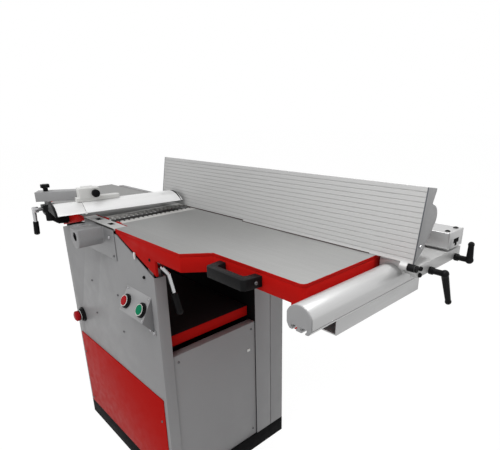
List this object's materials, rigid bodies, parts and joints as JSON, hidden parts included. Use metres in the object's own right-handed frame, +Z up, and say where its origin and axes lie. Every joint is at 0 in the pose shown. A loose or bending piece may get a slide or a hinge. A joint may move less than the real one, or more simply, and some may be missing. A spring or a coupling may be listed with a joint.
{
  "type": "combination planer thicknesser",
  "caption": "Floor-standing combination planer thicknesser: tilting surfacing tables with ribbed fence and bridge guard over a cutterblock, thicknesser table and lift below.",
  "frame": {"origin": "on the floor at the centre of the four floor bolt holes of the base frame", "axes": "+X along the tables to the infeed end, +Y from the operator to the rear cover, +Z up"},
  "size_m": [1.5532, 0.631, 1.0268],
  "materials": {
    "grey_paint": "satin",
    "red_paint": "satin",
    "dark_paint": "satin",
    "ground_iron": "ground",
    "iron": "cast",
    "steel": "brushed",
    "chrome": "polished",
    "alloy": "anodised",
    "black_plastic": "matte",
    "white_plastic": "gloss",
    "red_plastic": "gloss",
    "green_plastic": "gloss",
    "grey_plastic": "matte",
    "motor_paint": "satin",
    "belt": "matte",
    "brass": "machined"
  },
  "bodies": {
    "cabinet": {"base_frame": "dark_paint", "front_panel": "grey_paint", "lower_front_door": "red_paint", "end_panel_infeed": "grey_paint", "end_panel_outfeed": "grey_paint", "rear_wall": "grey_paint", "rear_cover": "grey_paint", "head_front": "iron", "head_rear": "iron", "cutter_bearings": "steel", "bearing_cover": "grey_paint", "throat_plate": "steel", "control_box": "grey_paint", "button_bezels": "black_plastic", "motor": "motor_paint", "drive_belt": "belt", "lift_pedestal": "iron", "hinge_blocks": "iron"},
    "cutterblock": {"cutter_head": "steel", "cutter_pulley": "alloy"},
    "motor_rotor": {"motor_pulley": "steel"},
    "feed_roller_in": {"infeed_roller": "steel"},
    "feed_roller_out": {"outfeed_roller": "steel"},
    "fingers": {"kickback_fingers": "steel"},
    "thicknesser": {"thickness_table": "red_paint", "lift_screw": "steel"},
    "nut": {"lift_nut": "brass"},
    "wheel": {"handwheel": "black_plastic"},
    "tables": {"outfeed_table": "ground_iron", "outfeed_apron": "red_paint", "outfeed_lip": "steel", "table_beams": "dark_paint", "guard_base": "black_plastic"},
    "infeed": {"infeed_table": "ground_iron", "infeed_apron": "red_paint", "infeed_lip": "steel", "fence_rail": "alloy", "rail_end_caps": "grey_plastic", "rail_bracket": "grey_paint", "table_handle": "black_plastic"},
    "carriage": {"fence_carriage": "alloy", "fence_beam": "alloy"},
    "fence": {"fence_board": "alloy", "fence_end_caps": "grey_plastic"},
    "cross_lever": {"cross_clamp_lever": "black_plastic"},
    "tilt_lever": {"tilt_clamp_lever": "black_plastic"},
    "lock": {"lock_lever": "chrome", "lock_grip": "black_plastic"},
    "guard_carrier": {"guard_arm": "grey_plastic", "guard_clamp": "white_plastic"},
    "guard_main": {"guard_board": "white_plastic"},
    "guard_front": {"guard_flap": "white_plastic"},
    "star_knob": {"guard_star_knob": "black_plastic"},
    "clamp_knob": {"guard_clamp_knob": "black_plastic"},
    "post_lever": {"guard_lever": "steel"},
    "stop": {"stop_button": "red_plastic"},
    "start": {"start_button": "green_plastic"},
    "emergency": {"emergency_knob": "red_plastic"}
  },
  "joints": [
    {"name": "table_tilt", "type": "hinge", "parent": "cabinet", "child": "tables", "pos_m": [0, 0.185, 0.815], "axis": [-1, 0, 0], "range_deg": [0, 88]},
    {"name": "depth_of_cut", "type": "slide", "parent": "tables", "child": "infeed", "axis": [0, 0, 1], "range_m": [-0.004, 0]},
    {"name": "fence_cross", "type": "slide", "parent": "infeed", "child": "carriage", "axis": [0, 1, 0], "range_m": [-0.185, 0.05]},
    {"name": "fence_tilt", "type": "hinge", "parent": "carriage", "child": "fence", "pos_m": [0.835, 0.058, 0.862], "axis": [-1, 0, 0], "range_deg": [-10, 35]},
    {"name": "cross_clamp_turn", "type": "hinge", "parent": "carriage", "child": "cross_lever", "pos_m": [0.862, 0.124, 0.842], "axis": [1, 0, 0], "range_deg": [-45, 45]},
    {"name": "tilt_clamp_turn", "type": "hinge", "parent": "carriage", "child": "tilt_lever", "pos_m": [0.862, 0.25, 0.842], "axis": [1, 0, 0], "range_deg": [-45, 45]},
    {"name": "table_lock_turn", "type": "hinge", "parent": "cabinet", "child": "lock", "pos_m": [0.313, -0.224, 0.801], "axis": [1, 0, 0], "range_deg": [0, 75]},
    {"name": "guard_height", "type": "slide", "parent": "tables", "child": "guard_carrier", "axis": [0, 0, 1], "range_m": [-0.005, 0.04]},
    {"name": "guard_slide", "type": "slide", "parent": "guard_carrier", "child": "guard_main", "axis": [0.1564, 0.9877, 0], "range_m": [-0.19, 0.055]},
    {"name": "guard_fold", "type": "hinge", "parent": "guard_main", "child": "guard_front", "pos_m": [-0.082, -0.253, 0.896], "axis": [0.9877, -0.1564, 0], "range_deg": [0, 20]},
    {"name": "star_knob_turn", "type": "hinge", "parent": "guard_carrier", "child": "star_knob", "pos_m": [-0.22, -0.307, 0.96], "axis": [0, 0, 1], "range_deg": [-360, 360]},
    {"name": "clamp_knob_turn", "type": "hinge", "parent": "guard_carrier", "child": "clamp_knob", "pos_m": [-0.07543, -0.21152, 0.947], "axis": [0.9877, -0.1564, 0], "range_deg": [-360, 360]},
    {"name": "post_lever_turn", "type": "hinge", "parent": "tables", "child": "post_lever", "pos_m": [-0.22, -0.349, 0.89], "axis": [0, 1, 0], "range_deg": [-45, 60]},
    {"name": "cutter_spin", "type": "hinge", "parent": "cabinet", "child": "cutterblock", "pos_m": [0.013, 0, 0.834], "axis": [0, 1, 0], "continuous": true},
    {"name": "motor_spin", "type": "hinge", "parent": "cabinet", "child": "motor_rotor", "pos_m": [-0.19, 0, 0.165], "axis": [0, 1, 0], "continuous": true},
    {"name": "infeed_roller_spin", "type": "hinge", "parent": "cabinet", "child": "feed_roller_in", "pos_m": [0.088, 0, 0.817], "axis": [0, 1, 0], "continuous": true},
    {"name": "outfeed_roller_spin", "type": "hinge", "parent": "cabinet", "child": "feed_roller_out", "pos_m": [-0.062, 0, 0.817], "axis": [0, 1, 0], "continuous": true},
    {"name": "finger_swing", "type": "hinge", "parent": "cabinet", "child": "fingers", "pos_m": [0.126, 0, 0.842], "axis": [0, 1, 0], "range_deg": [0, 22]},
    {"name": "handwheel_turn", "type": "hinge", "parent": "cabinet", "child": "wheel", "pos_m": [-0.34, -0.049, 0.32], "axis": [-1, 0, 0], "range_deg": [0, 20000]},
    {"name": "thickness_lift", "type": "slide", "parent": "cabinet", "child": "thicknesser", "axis": [0, 0, 1], "range_m": [0, 0.222]},
    {"name": "nut_turn", "type": "hinge", "parent": "cabinet", "child": "nut", "pos_m": [0, -0.049, 0.32], "axis": [0, 0, 1], "range_deg": [0, 5000]},
    {"name": "stop_press", "type": "slide", "parent": "cabinet", "child": "stop", "axis": [0, 0.8835, -0.4685], "range_m": [0, 0.002], "stiffness_N_per_m": 400},
    {"name": "start_press", "type": "slide", "parent": "cabinet", "child": "start", "axis": [0, 0.8835, -0.4685], "range_m": [0, 0.002], "stiffness_N_per_m": 400},
    {"name": "emergency_press", "type": "slide", "parent": "cabinet", "child": "emergency", "axis": [0, 1, 0], "range_m": [0, 0.004], "stiffness_N_per_m": 500}
  ],
  "couplings": [
    {"joint": "motor_spin", "follows": "cutter_spin", "ratio": 0.59524},
    {"joint": "outfeed_roller_spin", "follows": "infeed_roller_spin", "ratio": 1},
    {"joint": "handwheel_turn", "follows": "thickness_lift", "rad_per_m": 1570.8},
    {"joint": "nut_turn", "follows": "thickness_lift", "rad_per_m": 392.7},
    {"joint": "guard_slide", "follows": "fence_cross", "ratio": 1.0125}
  ]
}
